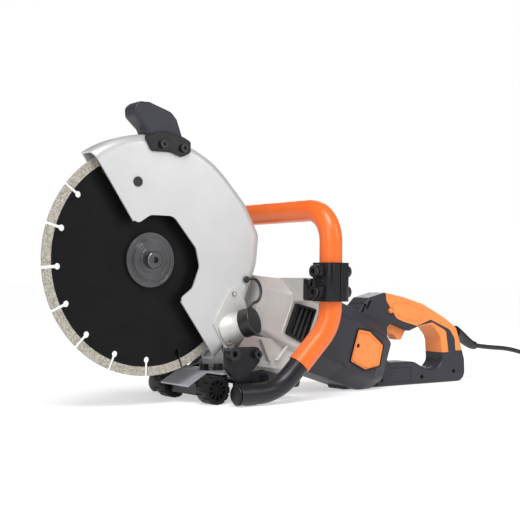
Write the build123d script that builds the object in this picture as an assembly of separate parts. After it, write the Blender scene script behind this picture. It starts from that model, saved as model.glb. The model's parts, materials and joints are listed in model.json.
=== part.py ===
from build123d import *
import math
import os

os.makedirs("parts", exist_ok=True)

# Electric disc cutter ("rescue saw").  All sizes in millimetres.
# The model is drawn about the centre of the blade: +X runs to the rear handle,
# +Y to the right-hand side of the machine, +Z up.  ORIGIN then moves it so that
# it stands on z = 0 with the middle of its footprint at x = y = 0.

# ---- driving dimensions -------------------------------------------------------
FLOOR = -189.2            # height of the floor below the spindle
MID = 32.0                # y of the centre plane of the motor and the handles
TILT = 19.5               # fall of the motor axis towards the rear, degrees
ORIGIN = Location((-259.73, -32.0, -FLOOR))

BLADE_R = 150.0
CORE_R = 138.0
CORE_T = 2.8
SEGMENT_T = 3.4
SLOTS = 17
SLOT_W = 3.8
SLOT_HOLE_R = 4.0
SLOT_HOLE_AT = 129.3
SLOT_PHASE = 142.2        # degrees from +X towards +Z

SPINDLE_R = 10.0
SPINDLE_END_R = 8.0
SPINDLE_TAIL_R = 7.5
FLANGE_R = 35.5

GUARD_R = 162.0
GUARD_WALL = 2.4
GUARD_NEAR = -18.0        # y of the outer face of the guard's near side
GUARD_FAR = 14.0          # y of the back of the guard's far plate
GUARD_START = 124.5       # angle of the front edge of the guard
GUARD_END = -54.0         # angle of the lower edge of the guard
HUB_R = 32.0              # boss on the gearbox that the guard turns on

GEAR_MODULE = 2.2
GEAR_TEETH = 36
PINION_TEETH = 9
GEAR_FACE = 10.5
PRESSURE = math.radians(20)

MOTOR_FRONT = 292.0       # stations along the motor axis
MOTOR_SEAM = 350.0
MOTOR_REAR = 440.0
BODY_HALF = 58.0          # half width of the motor housing
WALL = 4.0

TUBE_R = 14.0
SLEEVE_R = 15.6
TUBE_WALL = 2.0
TUBE_X = 237.0            # upright legs of the front handle
TUBE_TOP = 74.0
LEG_OUT = 119.0           # legs lie this far either side of the centre plane
FOOT_OUT = 103.0          # and their lower ends this far
FOOT_Z = FLOOR + 15.5     # height of the tube's feet
CLAMP_TOP = 0.0
CLAMP_BOTTOM = -53.0
CLAMP_BOLTS = (-12.0, -40.0)

WHEEL_R = 18.9
WHEEL_W = 24.0
WHEEL_X = 84.0
WHEEL_NEAR = -28.0        # y of the middle of each wheel
WHEEL_FAR = 75.0
AXLE_R = 5.0

LOCK_Y = 51.0             # y of the spindle lock button
SPOKES = 10
TREADS = 22

GUARD_ROUND = 13.0         # corner between the guard's face and its rim
PLUG_AT = (-27.5, 98.8)               # x and z of details on the guard
PORT_AT = (125.0, -88.0)
PORT_DIRECTION = (0.458, -0.845, 0.279)
GROMMET_AT = (143.0, -24.0)
LEVER_BOLTS = ((7.0, 149.0), (38.0, 146.5))
CHUTE_SCREWS = ((122.0, -43.5), (113.5, -110.0))

VENT_CORNERS = [(229, -24, 3), (266, -28, 3), (270, 26, 3), (232, 22, 3)]    # in the axis frame
CHEEK_BOLTS = ((98.0, -122.0), (138.5, -124.0))    # x and z on the base brackets
LIP_BOLTS = ((139.5, -163.0), (156.0, -157.0))
CARRIER_BOLTS = ((97.0, 13.0), (114.0, 4.0))       # x and y of upright bolts
BOSS_R = 9.6               # round bosses of the clamp jaws
BOSS_OUT = 27.0
FOOT_BOLT_X = (140, 205)
FOOT_BOLT_Y = (14, 50)

GRIP_HALF = 19.5          # half width of the rear handle
CORD_R = 3.9
COIL_AT = (919.3, -35.7)
COIL_R = 46.0
COIL_WIDTH = 31.8
COIL_HEIGHT = 15.8

FIT = 0.05                # radial clearance of a running fit

AXIS_FRAME = Location((0, 0, 0), (0, TILT, 0))     # x runs along the motor axis


# ---- helpers ------------------------------------------------------------------
def polar(radius, degrees):
    """Point of the XZ plane at a radius and an angle from +X towards +Z."""
    a = math.radians(degrees)
    return (radius * math.cos(a), radius * math.sin(a))


def outline(points):
    """Closed face in the XY plane from (x, y) or (x, y, corner radius) points."""
    corners = [p[:2] for p in points]
    radii = [max(p[2], 0.01) if len(p) > 2 else 0.01 for p in points]
    if all(r < 0.02 for r in radii):
        return make_face(Polyline(*corners, close=True))
    return make_face(FilletPolyline(*corners, radius=radii, close=True))


def plate(points, y0, y1):
    """An outline of the XZ plane made solid between two values of y."""
    return slab(outline(points), y0, y1)


def slab(face, y0, y1):
    """A face drawn in x and z made solid between two values of y."""
    placed = Plane.XZ.offset(-y0) * face
    return extrude(placed, amount=-(y1 - y0))


def rod(radius, start, end):
    """Round bar between two points."""
    a = Vector(*start)
    b = Vector(*end)
    plane = Plane(origin=a, z_dir=(b - a).normalized())
    return extrude(plane * Circle(radius), amount=(b - a).length)


def pipe(outer, inner, start, end):
    """Round tube between two points."""
    a = Vector(*start)
    b = Vector(*end)
    plane = Plane(origin=a, z_dir=(b - a).normalized())
    return extrude(plane * (Circle(outer) - Circle(inner)), amount=(b - a).length)


def disc_y(radius, y0, y1, x=0, z=0):
    """Round bar along Y."""
    return rod(radius, (x, y0, z), (x, y1, z))


def ring_y(outer, inner, y0, y1, x=0, z=0):
    """Round ring about an axis along Y."""
    return pipe(outer, inner, (x, y0, z), (x, y1, z))


def on_axis(radius, s0, s1, y=MID):
    """Round bar on the motor axis, in the axis frame."""
    return rod(radius, (s0, y, 0), (s1, y, 0))


def ring_on_axis(outer, inner, s0, s1):
    """Ring on the motor axis, in the axis frame."""
    return pipe(outer, inner, (s0, MID, 0), (s1, MID, 0))


def box(x0, x1, y0, y1, z0, z1):
    """Rectangular block between limits."""
    centre = Pos((x0 + x1) / 2, (y0 + y1) / 2, (z0 + z1) / 2)
    return centre * Box(x1 - x0, y1 - y0, z1 - z0)


def hex_bolt(radius, head_r, head_h, start, direction, length):
    """Bolt with a hexagon head; its head sits outside the start point."""
    plane = Plane(origin=start, z_dir=direction)
    head = extrude(plane * RegularPolygon(head_r, 6), amount=-head_h)
    return head + extrude(plane * Circle(radius), amount=length)


def socket_bolt(radius, head_r, head_h, start, direction, length):
    """Cap screw with a hexagon socket; its head sits outside the start point."""
    plane = Plane(origin=start, z_dir=direction)
    head = extrude(plane * Circle(head_r), amount=-head_h)
    top = plane.offset(-head_h)
    socket = extrude(top * RegularPolygon(head_r * 0.5, 6), amount=head_h * 0.6)
    return head + extrude(plane * Circle(radius), amount=length) - socket


def together(*solids):
    """Separate solids kept apart in one sub-part."""
    return Compound(children=[s for item in solids for s in item.solids()])


def both_sides(shape):
    """A near-side shape and its twin on the far side, kept apart."""
    return together(shape, mirror(shape, about=Plane.XZ.offset(-MID)))


PARTS = {}


def keep(name, shape):
    """Record a finished sub-part."""
    PARTS[name] = shape


# ---- blade and spindle --------------------------------------------------------
def slot_angles():
    return [SLOT_PHASE + n * 360 / SLOTS for n in range(SLOTS)]


def blade_slot(angle):
    """One radial slot with its round stress hole."""
    x, z = polar(SLOT_HOLE_AT, angle)
    hole = disc_y(SLOT_HOLE_R, -5, 5, x, z)
    slot = Rot(0, -angle, 0) * box(SLOT_HOLE_AT, BLADE_R + 5, -5, 5, -SLOT_W / 2, SLOT_W / 2)
    return hole + slot


def make_blade():
    slots = [blade_slot(a) for a in slot_angles()]
    core = ring_y(CORE_R, 12.7, -CORE_T / 2, CORE_T / 2)
    rim = ring_y(BLADE_R, CORE_R, -SEGMENT_T / 2, SEGMENT_T / 2)
    for slot in slots:
        core -= slot
        rim -= slot
    keep("blade_core", core)
    keep("blade_segments", together(rim))


def make_spindle():
    shaft = disc_y(SPINDLE_END_R, -5, 9) + disc_y(14, 8.2, 12) + disc_y(SPINDLE_R, 12, 60)
    shaft += disc_y(SPINDLE_TAIL_R, 60, 74)
    shaft -= disc_y(5, -5, 22)
    keep("spindle", shaft)
    inner = ring_y(FLANGE_R, SPINDLE_END_R, CORE_T / 2, 8.2)
    inner += ring_y(12.65, SPINDLE_END_R, -1.0, CORE_T / 2)
    inner -= ring_y(27, 14, CORE_T / 2, 3)
    outer = ring_y(FLANGE_R, SPINDLE_END_R, -6, -CORE_T / 2)
    outer += ring_y(26, SPINDLE_END_R, -8.5, -6) + ring_y(17, SPINDLE_END_R, -10.5, -8.5)
    outer -= ring_y(30, 27.5, -6, -5)
    outer -= ring_y(27, 13.5, -3, -CORE_T / 2)
    keep("blade_flanges", together(inner, outer))
    bolt = disc_y(11, -18, -10.5) + disc_y(5, -10.5, 20)
    bolt -= slab(RegularPolygon(4.6, 6), -18, -13)
    bolt = chamfer(bolt.edges().group_by(Axis.Y)[0].filter_by(GeomType.CIRCLE), 1.2)
    keep("blade_bolt", bolt)


# ---- bevel gears --------------------------------------------------------------
def involute_tooth(teeth, addendum, dedendum, module, thin):
    """Half-profile points (radius, half angle) of an involute tooth, root to tip."""
    pitch = teeth * module / 2
    base = pitch * math.cos(PRESSURE)
    low = max(base, pitch - dedendum)
    half = math.pi / (2 * teeth) - thin / pitch
    half += math.tan(PRESSURE) - PRESSURE
    profile = []
    for n in range(6):
        r = low + (pitch + addendum - low) * n / 5
        a = math.acos(min(1.0, base / r))
        profile.append((r, half - (math.tan(a) - a)))
    return [(pitch - dedendum - 0.8, profile[0][1])] + profile


def bevel_tooth(teeth, mate, addendum, dedendum, thin):
    """A straight bevel tooth, its cone's apex at the origin and its axis along X."""
    cone = math.atan2(teeth, mate)
    module = GEAR_MODULE
    virtual = teeth / math.cos(cone)
    reach = teeth * module / 2 / math.sin(cone)
    profile = involute_tooth(virtual, addendum, dedendum, module, thin)
    pitch = virtual * module / 2
    sections = []
    for scale in (1.0, 1.0 - GEAR_FACE / reach):
        ring = []
        for side in (1, -1):
            half = []
            for r, a in profile:
                across = side * r * math.sin(a)
                out = r * math.cos(a) - pitch
                along = reach * math.cos(cone) - out * math.sin(cone)
                up = reach * math.sin(cone) + out * math.cos(cone)
                half.append(Vector(along * scale, across * scale, up * scale))
            ring += half if side == 1 else half[::-1]
        sections.append(ring)
    outer, inner = sections
    faces = [make_face(Polyline(*outer, close=True)), make_face(Polyline(*inner[::-1], close=True))]
    count = len(outer)
    for n in range(count):
        m = (n + 1) % count
        faces.append(make_face(Polyline(outer[n], inner[n], inner[m], outer[m], close=True)))
    return Solid(Shell([f.faces()[0] for f in faces]))


def bevel_blank(teeth, mate, dedendum, back):
    """The gear's body below the teeth, its axis along X, solid back to a station."""
    cone = math.atan2(teeth, mate)
    reach = teeth * GEAR_MODULE / 2 / math.sin(cone)
    near = reach - GEAR_FACE

    def at(distance, drop):
        return (distance * math.cos(cone) + drop * math.sin(cone),
                distance * math.sin(cone) - drop * math.cos(cone))

    ratio = near / reach
    inner = at(near, dedendum * ratio)
    outer = at(reach, dedendum)
    points = [(inner[0], 0), inner, outer, (back, outer[1]), (back, 0)]
    return revolve(make_face(Polyline(*points, close=True)), Axis.X)


def bevel_gear(teeth, mate, addendum, dedendum, back, thin, phase=0.0):
    blank = bevel_blank(teeth, mate, dedendum, back)
    tooth = bevel_tooth(teeth, mate, addendum, dedendum, thin)
    turned = [Rot(phase + n * 360 / teeth, 0, 0) * tooth for n in range(teeth)]
    return blank.fuse(*turned)


def make_gears():
    cone_depth = PINION_TEETH * GEAR_MODULE / 2
    wheel_back = cone_depth + 14
    wheel = bevel_gear(GEAR_TEETH, PINION_TEETH, 0.75 * GEAR_MODULE, 1.3 * GEAR_MODULE,
                       wheel_back, 0.10, 90 + TILT + 180 / GEAR_TEETH)
    wheel = Pos(0, MID, 0) * (Rot(0, 0, 90) * wheel)
    wheel += disc_y(16, MID + wheel_back - 1, 60)
    wheel -= disc_y(SPINDLE_R, MID, 60)
    keep("driven_gear", wheel)
    pinion = bevel_gear(PINION_TEETH, GEAR_TEETH, 1.05 * GEAR_MODULE, GEAR_MODULE,
                        44, 0.10, -90)
    pinion = Pos(0, MID, 0) * pinion
    pinion += on_axis(9, 43, 54)
    shaft = on_axis(7.5, 54, 262) + on_axis(5, 262, 270)
    keep("pinion_shaft", AXIS_FRAME * (pinion + shaft))


# ---- castings -----------------------------------------------------------------
def body_section(s, scale=1.0, shrink=0.0):
    """Outline of the motor housing at a station of the axis frame."""
    half = BODY_HALF * scale - shrink
    flat = 36 * scale - shrink * 0.4
    top = 60 * scale - shrink
    ridge = 30 * scale - shrink * 0.4
    corners = [(half, -flat), (half, flat), (ridge, top), (-ridge, top),
               (-half, flat), (-half, -flat), (-ridge, -top + 2), (ridge, -top + 2)]
    face = outline([(y, t, 9 * scale) for y, t in corners])
    return Plane(origin=(s, MID, 0), x_dir=(0, 1, 0), z_dir=(1, 0, 0)) * face


def arm(shrink, start, end):
    """The tapering arm of the gearbox casting, in the axis frame."""
    stations = [(start, 0.46), (150.0, 0.62), (228.0, 0.95), (end, 1.0)]
    return loft([body_section(s, k, shrink) for s, k in stations], ruled=True)


def handle_boss():
    """Boss on the side of the casting that carries one handle arm."""
    return box(222, 253, -46, 10, -53, -21)


def make_gearbox():
    casting = AXIS_FRAME * arm(0, 20, MOTOR_FRONT) + disc_y(50, 14.4, 80)
    casting += plate([(127, -100, 4), (240, -100, 4), (226, -158, 6), (127, -158, 3)], 2, 62)
    casting += both_sides(handle_boss())
    for y in (-12, 20, 52, 74):
        rib = plate([(128, -96, 4), (262, -118, 3), (214, -150, 5), (140, -140, 5)], y - 2.5, y + 2.5)
        casting += rib & box(100, 300, -22, 86, -160, -60)
    cavity = AXIS_FRAME * arm(5, 22, MOTOR_FRONT)
    cavity += disc_y(45, 24.5, 80)
    cavity &= box(-60, 320, -80, 140, -200, 80)
    swing = disc_y(178, -80, 14.4)
    cavity -= disc_y(183, -80, 19.4)
    web = AXIS_FRAME * (on_axis(60, 58, 76) + on_axis(85, 244, 258))
    inner = cavity - web
    casting -= swing
    casting -= inner
    casting += disc_y(HUB_R, 11, 16) + disc_y(25.5, 16, 24.4)
    casting -= disc_y(23.5, 12.4, 24.5) + disc_y(SPINDLE_R + 5, 10, 13)
    casting -= rod(3.0 + FIT, (0, LOCK_Y, 40), (0, LOCK_Y, 56))
    casting -= AXIS_FRAME * (on_axis(17.5, 61, 76) + on_axis(17.5, 244, 255) + on_axis(13, 54, 260))
    casting += vent_frames()
    for window in vent_windows():
        casting -= window
    for hole in guard_screws(2.0):
        casting -= hole
    for hole in foot_bolts(3.0):
        casting -= hole
    for hole in arm_bolts(3.0):
        casting -= hole
    for hole in cover_screws(2.0, 62):
        casting -= hole
    x, z = CHEEK_BOLTS[1]
    casting -= both_sides(disc_y(7.0, -60, 2, x, z))
    casting -= both_sides(disc_y(3.0, -60, 10, x, z))
    keep("gearbox_housing", casting)


def vent_windows():
    """Openings for the air grilles in both sides of the casting."""
    near = plate(VENT_CORNERS, -30, -14)
    far = mirror(near, about=Plane.XZ.offset(-MID))
    return [AXIS_FRAME * near, AXIS_FRAME * far]


def vent_frames():
    """Raised rims of the casting round its air openings."""
    near = slab(offset(outline(VENT_CORNERS), 4.0), -20.5, -12)
    near = fillet(near.faces().sort_by(Axis.Y)[0].edges(), 1.5)
    return both_sides(AXIS_FRAME * near)


def make_grilles():
    """Black louvred air grilles, one each side."""
    outer = outline([(229, -24, 3), (266, -28, 3), (270, 26, 3), (232, 22, 3)])
    frame = slab(outer, -28.5, -20.5) - slab(offset(outer, -3), -29, -20)
    for n in range(4):
        x = 235.5 + n * 8.2
        slat = Pos(x, -24.5, -1) * (Rot(0, 4, 0) * (Rot(0, 0, 35) * Box(1.8, 7, 56)))
        frame += slat & slab(offset(outer, -1), -28, -21)
    keep("vent_grilles", both_sides(AXIS_FRAME * frame))


def ring_of_screws(radius, count, at, head_y, direction, length, sizes, start=0.0):
    """Identical cap screws on a circle about the spindle."""
    shank, head_r, head_h = sizes
    screws = []
    for n in range(count):
        x, z = polar(at, start + n * 360 / count)
        screws.append(socket_bolt(shank, head_r, head_h, (x, head_y, z), (0, direction, 0), length))
    return screws


def guard_screws(radius):
    holes = []
    for n in range(4):
        x, z = polar(27.8, 45 + n * 90)
        holes.append(disc_y(radius, 9.0, 19, x, z))
    return holes


def cover_screws(radius, depth):
    holes = []
    for n in range(6):
        x, z = polar(47.3, 15 + n * 60)
        holes.append(disc_y(radius, depth, 90, x, z))
    return holes


def make_gearbox_trim():
    retainer = ring_y(36.5, 19, 9.0, 11.0)
    for hole in guard_screws(2.0):
        retainer -= hole
    keep("guard_retainer", retainer)
    cover = disc_y(50, 80, 85) + disc_y(24, 62, 80)
    cover = chamfer(cover.edges().group_by(Axis.Y)[-1], 2)
    cover -= disc_y(17.5, 60, 72.6) + disc_y(10, 60, 76)
    for hole in cover_screws(2.0, 79):
        cover -= hole
    keep("gearbox_cover", cover)
    screws = ring_of_screws(2.0, 6, 47.3, 85, -1, 22, (2.0, 2.6, 3.0), 15)
    keep("casting_screws", together(*screws, *guard_screws(2.0)))


def bearing(bore, outer, s0, s1):
    """Closed ball bearing on the motor axis."""
    body = ring_on_axis(outer, bore, s0, s1)
    groove = ring_on_axis(outer - (outer - bore) * 0.28, bore + (outer - bore) * 0.28, s0, s0 + 0.8)
    return AXIS_FRAME * (body - groove)


def make_bearings():
    front = ring_y(23.5, SPINDLE_R + FIT, 12.4, 24.4) - ring_y(20, 14.5, 12.4, 13.2)
    back = ring_y(17.5, SPINDLE_TAIL_R + FIT, 61.5, 72.6) - ring_y(15, 10.5, 61.5, 62.2)
    shaft = 7.5 + FIT
    keep("ball_bearings", together(front, back, bearing(shaft, 17.5, 62, 73), bearing(shaft, 17.5, 244, 255),
                                   bearing(6 + FIT, 16, 402, 412)))


# ---- motor --------------------------------------------------------------------
def make_motor_housing():
    outer = loft([body_section(MOTOR_FRONT), body_section(MOTOR_SEAM, 0.985)], ruled=True)
    inner = loft([body_section(MOTOR_FRONT, 1, WALL), body_section(MOTOR_SEAM, 0.985, WALL)], ruled=True)
    housing = outer - inner
    groove = box(MOTOR_FRONT + 4, MOTOR_SEAM + 1, -40, MID + 80, -33.5, -31.5)
    depth = loft([body_section(MOTOR_FRONT, 1, 0.9), body_section(MOTOR_SEAM, 0.985, 0.9)], ruled=True)
    housing -= groove - depth
    keep("motor_housing", AXIS_FRAME * housing)


def make_motor_inside():
    stator = on_axis(53.2, 300, 345) & loft(
        [body_section(MOTOR_FRONT, 1, WALL), body_section(MOTOR_SEAM, 0.985, WALL)], ruled=True)
    stator -= on_axis(34, 299, 346)
    for side in (-1, 1):
        stator -= Pos(322, MID, side * 36) * Box(60, 30, 12)
    coils = [Pos(322.5, MID, side * 38.0) * Box(52, 30, 7) for side in (-1, 1)]
    keep("field_stator", AXIS_FRAME * together(stator, *coils))
    shaft = on_axis(6, 270, 414) - on_axis(5, 262, 270)
    keep("motor_shaft", AXIS_FRAME * shaft)
    core = ring_on_axis(32, 6, 302, 343)
    for n in range(16):
        slot = Pos(322, MID, 0) * (Rot(n * 22.5, 0, 0) * (Pos(0, 0, 30) * Box(50, 3, 8)))
        core -= slot
    windings = [ring_on_axis(25.5, 6, 343, 352), ring_on_axis(25.5, 6, 293, 302)]
    keep("armature_core", AXIS_FRAME * together(core, *windings))
    commutator = ring_on_axis(18, 6, 372, 391)
    for n in range(24):
        commutator -= Pos(381, MID, 0) * (Rot(n * 15, 0, 0) * (Pos(0, 0, 18) * Box(30, 0.7, 3)))
    keep("commutator", AXIS_FRAME * commutator)
    hub = ring_on_axis(14, 6, 272, 291) + ring_on_axis(49, 12, 288, 290)
    for n in range(12):
        blade = Pos(280, MID, 0) * (Rot(n * 30, 0, 0) * (Pos(1, 0, 30) * (Rot(0, 0, 25) * Box(15, 1.8, 36))))
        hub += blade & on_axis(49, 272, 289)
    keep("cooling_fan", AXIS_FRAME * hub)


# ---- rear housing and D-handle --------------------------------------------------
def handle_outline():
    """Side view of the neck, grip, rear post and base."""
    return outline([
        (352, FLOOR, 3), (352, -120, 3), (380, -72, 6), (404, -50, 6), (437, -42, 12),
        (478, -49, 40), (523, -60.5, 30), (573, -83, 30), (602, -100, 14), (622, -152, 30),
        (624, FLOOR, 17)])


def handle_opening():
    """Side view of the finger opening of the D-handle."""
    return outline([
        (444, -152, 5), (443, -97, 4), (452, -90, 2), (492, -103.5, 3), (512, -97, 14),
        (544, -95, 22), (565, -116, 24), (568, -154, 12), (556, -166, 12), (530, -165, 20),
        (503, -152.5, 24)])


def rear_bell(shrink):
    """The rounded rear of the motor housing, in the blade frame."""
    first, last = MOTOR_SEAM, MOTOR_REAR
    sections = [body_section(first, 0.985, shrink), body_section(415, 0.95, shrink),
                body_section(last - shrink, 0.80, shrink)]
    return AXIS_FRAME * loft(sections, ruled=True)


def rounded_handle():
    """The D-handle as one solid with soft edges."""
    ring = slab(handle_outline() - handle_opening(), MID - GRIP_HALF, MID + GRIP_HALF)
    sides = ring.edges().filter_by(lambda e: abs(e.tangent_at(0.5).Y) < 0.1)
    soft = sides.filter_by(lambda e: e.center().X > 360)
    for radius in (5.0, 3.0, 1.5):
        try:
            return fillet(soft, radius)
        except Exception:
            continue
    return ring


def grip_region():
    """Side view of the part of the grip that the orange cover clads."""
    return outline([
        (436, -30, 1), (440, -55, 6), (452, -70, 5), (463, -83, 4), (477, -88, 4), (508, -95.5, 5),
        (540, -86, 6), (585, -103, 8), (597, -118, 8), (599, -138, 1), (640, -138, 1), (640, -30, 1)])


def lining_region():
    """Side view of the orange lining at the top and rear of the finger opening."""
    return outline([
        (505, -108, 1), (509, -96, 2), (543, -90.5, 6), (576, -105, 8), (582, -140, 1),
        (560, -140, 1), (555, -120, 4)])


def cladding_depth():
    """The handle's shape under its orange cladding."""
    face = handle_outline() - handle_opening()
    return slab(offset(face, -2.4, kind=Kind.INTERSECTION), MID - GRIP_HALF + 2.2, MID + GRIP_HALF - 2.2)


def make_rear_housing():
    handle = rounded_handle()
    bell = rear_bell(0)
    below = box(300, 700, -100, 200, FLOOR, 100)
    clad_grip = (handle & slab(grip_region(), -20, 90)) - cladding_depth()
    clad_lining = (handle & slab(lining_region(), -20, 90)) - cladding_depth()
    relief_hole = rod(9.0, (590, MID, -100.9), (640, MID, -118.5))
    button_recess = disc_y(6.5, 0, MID - GRIP_HALF + 1.2, 448, -71) + disc_y(4.0 + FIT, 0, 70, 448, -71)
    panel = outline([(451, -59, 4), (474, -57, 12), (500, -63, 12), (528, -71.5, 5), (519, -81.5, 5),
                     (507, -88.5, 5), (477, -83.5, 5), (457, -74, 5)])
    line = slab(panel - offset(panel, -0.9), MID - GRIP_HALF - 1, MID - GRIP_HALF + 0.5)
    keep("grip_cover", largest(clad_grip - both_sides(line) - relief_hole - button_recess))
    keep("grip_lining", largest(clad_lining))
    shell = (handle + bell) & below
    seam = AXIS_FRAME * box(200, MOTOR_SEAM, -100, 200, -300, 300)
    shell -= seam
    shell -= clad_grip + clad_lining
    room = rear_bell(WALL)
    face = handle_outline() - handle_opening()
    room += slab(offset(face, -6.0, kind=Kind.INTERSECTION), MID - GRIP_HALF + 5.5, MID + GRIP_HALF - 5.5)
    bulkhead = AXIS_FRAME * on_axis(90, 400, 415)
    room -= bulkhead & rear_bell(0)
    shell -= room
    shell -= AXIS_FRAME * (on_axis(16, 400, 412) + on_axis(11, 399, 416))
    shell -= trigger_pocket()
    shell -= button_recess
    shell -= disc_y(2.0, MID - 13.9, MID + 13.9, 488, -96)
    for n in range(3):
        slit = Pos(404 + n * 9, MID, -180) * (Rot(0, 30, 0) * Box(3, 60, 15))
        shell -= slit
    for n in range(2):
        slit = Pos(392 + n * 10, MID, -66 + n * 5) * (Rot(0, 32, 0) * Box(4, 60, 15))
        shell -= slit
    for recess in brush_recesses():
        shell -= recess
    shell -= label_recess()
    shell -= relief_hole
    for x, z in screw_places():
        shell -= disc_y(2.0, MID - 14, MID + 13, x, z) + disc_y(3.6, -60, MID - 13.5, x, z)
    near = shell & box(300, 700, -100, MID, -200, 60)
    far = shell & box(300, 700, MID, 200, -200, 60)
    keep("rear_housing_near", near)
    keep("rear_housing_far", far)


def largest(shape):
    """The biggest solid of a shape, without slivers."""
    return max(shape.solids(), key=lambda s: s.volume)


def screw_places():
    return [(545, -77), (580, -96), (595, -172), (520, -178), (430, -178)]


def make_handle_screws():
    screws = []
    for x, z in screw_places():
        screws.append(socket_bolt(2.0, 3.4, 2.6, (x, MID - 13.5, z), (0, 1, 0), 24))
    cover_screw = AXIS_FRAME * socket_bolt(2.0, 3.2, 2.0, (366, -22, 2), (0, 1, 0), 6)
    keep("housing_screws", together(*screws, both_sides(cover_screw)))


def brush_recesses():
    corners = [(358, -25, 4), (357, 26, 4), (381, 30, 5), (415, 19, 5), (418, -14, 5), (391, -28, 5)]
    near = AXIS_FRAME * (plate(corners, -40, -20.5) + rod(12, (381, -30, 0), (381, -8, 0))
                         + rod(2.0, (366, -30, 2), (366, -16, 2)))
    return [near, mirror(near, about=Plane.XZ.offset(-MID))]


def make_brush_gear():
    corners = [(358.6, -24.4, 4), (357.6, 25.4, 4), (381, 29.4, 5), (414.4, 18.6, 5), (417.4, -13.8, 5),
               (391, -27.4, 5)]
    cover = plate(corners, -25.8, -20.5)
    cover = fillet(cover.faces().sort_by(Axis.Y)[0].edges(), 1.2)
    cover -= rod(3.4, (366, -30, 2), (366, -22, 2)) + rod(2.0, (366, -30, 2), (366, -19, 2))
    face = outline(corners)
    cover -= slab(offset(face, -2.6) - offset(face, -3.5), -26.5, -25.2)
    keep("brush_covers", both_sides(AXIS_FRAME * cover))
    holder = rod(12.0, (381, -20.5, 0), (381, -8, 0)) + box(374, 388, -8, 12, -6, 6)
    holder -= box(376, 386, -21, 13, -4, 4)
    brush = box(376, 386, -8, MID - 18.2, -4, 4)
    keep("brush_gear", together(both_sides(AXIS_FRAME * holder), both_sides(AXIS_FRAME * brush)))


def trigger_pocket():
    return plate([(441, -99), (443.5, -73), (505, -89.5), (505, -99.2), (492, -112), (470, -112)],
                 MID - 9.5, MID + 9.5)


def label_recess():
    return box(451, 495, MID - GRIP_HALF - 3, MID - GRIP_HALF + 1.2, -183, -161)


def make_handle_trim():
    label = box(451.4, 494.6, MID - GRIP_HALF + 0.2, MID - GRIP_HALF + 1.2, -182.6, -161.4)
    keep("blank_label_plate", label)
    trigger = plate([(447, -88, 1), (449, -81, 2), (494, -93, 2), (492, -104, 2), (483, -117.5, 3),
                     (474, -117.5, 2), (467, -109, 5), (458, -107.5, 4), (450, -103, 4), (444.5, -98.5, 2)],
                    MID - 9.0, MID + 9.0)
    trigger = fillet(trigger.edges().filter_by(lambda e: abs(e.tangent_at(0.5).Y) < 0.1), 1.0)
    trigger -= disc_y(2.0 + FIT, 0, 60, 488, -96)
    keep("trigger", trigger)
    keep("trigger_pin", disc_y(2.0, MID - 13.9, MID + 13.9, 488, -96))
    button = disc_y(4.0, MID - GRIP_HALF - 4.0, MID + 14, 448, -71)
    button = fillet(button.edges().group_by(Axis.Y)[0], 2.5)
    keep("lock_off_button", button)
    switch = box(497, 527, MID - 9, MID + 9, -89, -74)
    keep("switch_module", switch)


def make_strain_relief():
    """Tapered rubber sleeve that bends down where the cord leaves the handle."""
    fall = math.radians(19.4)
    start = Vector(596, MID, -103)
    heading = Vector(math.cos(fall), 0, -math.sin(fall))
    collar = start + heading * 22
    relief = rod(9.0, start, start + heading * 23)
    stations = [(0, 0, 19.4, 12.8), (12, -4.4, 24, 10.4), (27, -12.6, 32, 8.8), (40, -19.4, 22, 7.8),
                (52, -22.6, 6, 6.8)]
    sections = []
    for dx, dz, angle, radius in stations:
        a = math.radians(angle)
        plane = Plane(origin=collar + Vector(dx, 0, dz), z_dir=(math.cos(a), 0, -math.sin(a)))
        sections.append(plane * Circle(radius))
    relief += loft(sections)
    keep("strain_relief", relief)


# ---- front handle ---------------------------------------------------------------
def tube_points():
    """Corners of the front handle tube from its near foot to its far foot."""
    foot = MID - FOOT_OUT
    leg = MID - LEG_OUT
    half = [(92, foot, FOOT_Z), (158, foot, FOOT_Z), (TUBE_X, leg, -84.5), (TUBE_X, leg, TUBE_TOP)]
    return half + [(x, 2 * MID - y, z) for x, y, z in reversed(half)]


def handle_path():
    return FilletPolyline(*tube_points(), radius=[70, 66, 46, 46, 66, 70])


def sleeve_path():
    """Stretch of the handle that the orange sleeve covers."""
    near, corner = [Vector(*p) for p in tube_points()[1:3]]
    start = near + (corner - near) * 0.40
    end = Vector(start.X, 2 * MID - start.Y, start.Z)
    points = [start] + [Vector(*p) for p in tube_points()[2:6]] + [end]
    return FilletPolyline(*points, radius=[66, 46, 46, 66])


def along(path, outer, inner=0.0):
    """A round section carried along a path."""
    plane = Plane(origin=path @ 0, z_dir=path % 0)
    solid = sweep(plane * Circle(outer), path=path)
    if inner:
        solid -= sweep(plane * Circle(inner), path=path)
    return solid


def clamp_holes(radius):
    holes = []
    for z in CLAMP_BOLTS:
        for y in (MID - LEG_OUT, MID + LEG_OUT):
            holes.append(rod(radius, (TUBE_X - 40, y, z), (TUBE_X + 40, y, z)))
    return holes


def make_front_handle():
    tube = along(handle_path(), TUBE_R, TUBE_R - TUBE_WALL)
    foot = MID - FOOT_OUT
    for end in both_sides(rod(TUBE_R - TUBE_WALL, (92, foot, FOOT_Z), (95, foot, FOOT_Z))).solids():
        tube += end
    sleeve = along(sleeve_path(), SLEEVE_R, TUBE_R)
    leg_zone = box(TUBE_X - 30, TUBE_X + 30, -120, 190, CLAMP_BOTTOM, CLAMP_TOP)
    sleeve -= leg_zone
    for hole in clamp_holes(4.0):
        tube -= hole
    keep("front_handle_tube", tube)
    keep("handle_sleeves", together(sleeve))


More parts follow.
